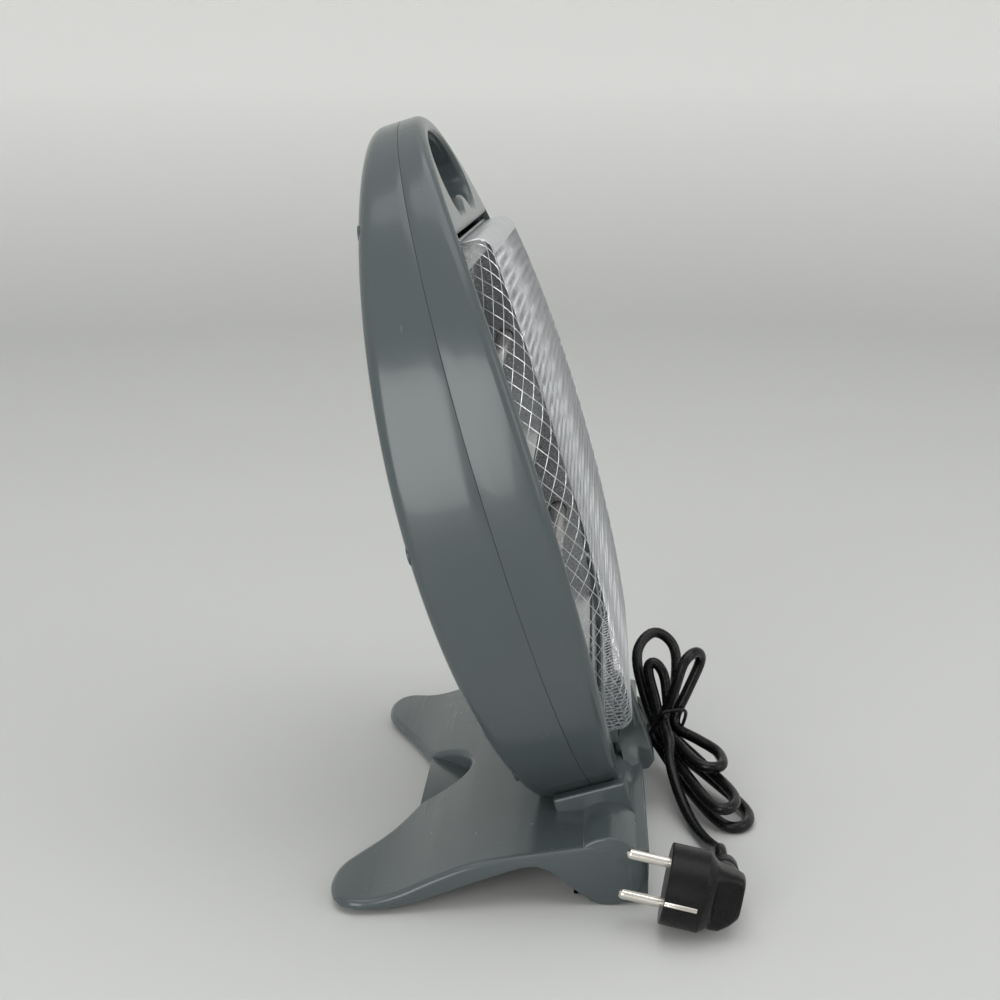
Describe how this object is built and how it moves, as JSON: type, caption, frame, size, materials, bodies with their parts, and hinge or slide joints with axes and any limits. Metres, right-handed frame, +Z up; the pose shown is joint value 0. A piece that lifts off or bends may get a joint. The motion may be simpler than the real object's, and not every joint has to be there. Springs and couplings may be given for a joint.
{
  "type": "table-top radiant heater",
  "caption": "Leaning oval radiant heater with a wire-mesh front, round control knob, top hand opening, toed base with tip-over switch, and a tied mains cord with plug.",
  "frame": {"origin": "bottom centre of the heater's bounding box without the cord, on the surface it stands on", "axes": "+X towards the mesh front and the knob, +Y towards the side farther from the camera of the picture, +Z up"},
  "size_m": [0.2088, 0.3021, 0.3603],
  "materials": {
    "grey_plastic": "semi-gloss moulded blue-grey",
    "grey_knob": "semi-gloss moulded blue-grey",
    "black_plastic": "matt",
    "natural_plastic": "matt natural nylon",
    "black_rubber": "matt",
    "zinc_steel": "zinc plated",
    "spring_steel": "bright drawn",
    "bright_wire": "bright plated",
    "polished_aluminium": "polished",
    "quartz_glass": "clear",
    "resistance_wire": "oxidised",
    "ceramic": "unglazed ceramic",
    "aluminised_steel": "dull",
    "wire_insulation": "satin insulation",
    "black_cord": "satin PVC",
    "black_tie": "plastic-coated wire",
    "black_plug": "satin moulded PVC",
    "nickel": "nickel plated"
  },
  "bodies": {
    "heater": {"base_shell": "grey_plastic", "base_cover": "black_plastic", "rubber_feet": "black_rubber", "base_screws": "zinc_steel", "neck_bracket": "grey_plastic", "neck_screws": "zinc_steel", "tip_switch_housing": "black_plastic", "plunger_spring": "spring_steel", "rear_shell": "grey_plastic", "front_shell": "grey_plastic", "shell_screws": "zinc_steel", "grille_frame": "zinc_steel", "wire_grille": "bright_wire", "grille_wall": "bright_wire", "grille_clips": "spring_steel", "reflector": "polished_aluminium", "reflector_screws": "zinc_steel", "quartz_tubes": "quartz_glass", "heating_coils": "resistance_wire", "tube_holders": "ceramic", "heat_shield": "aluminised_steel", "thermal_cutout": "black_plastic", "rotary_switch": "black_plastic", "terminal_block": "ceramic", "inner_wires": "wire_insulation", "strain_relief": "black_cord", "cord_lead": "black_cord", "cord_hank": "black_cord", "cord_tie": "black_tie", "cord_tail": "black_cord", "plug_body": "black_plug", "plug_pins": "nickel", "plug_earth_clips": "nickel"},
    "knob": {"control_knob": "grey_knob", "switch_shaft": "zinc_steel"},
    "plunger": {"tip_plunger": "natural_plastic"}
  },
  "joints": [
    {"name": "knob_turn", "type": "hinge", "parent": "heater", "child": "knob", "pos_m": [0.05844, 0, 0.04224], "axis": [0.9886, 0, 0.1504], "range_deg": [0, 180]},
    {"name": "tip_plunger_slide", "type": "slide", "parent": "heater", "child": "plunger", "axis": [0, 0, 1], "range_m": [-0.005, 0], "stiffness_N_per_m": 150, "springref_m": -0.008, "deforming": ["plunger_spring"]}
  ]
}
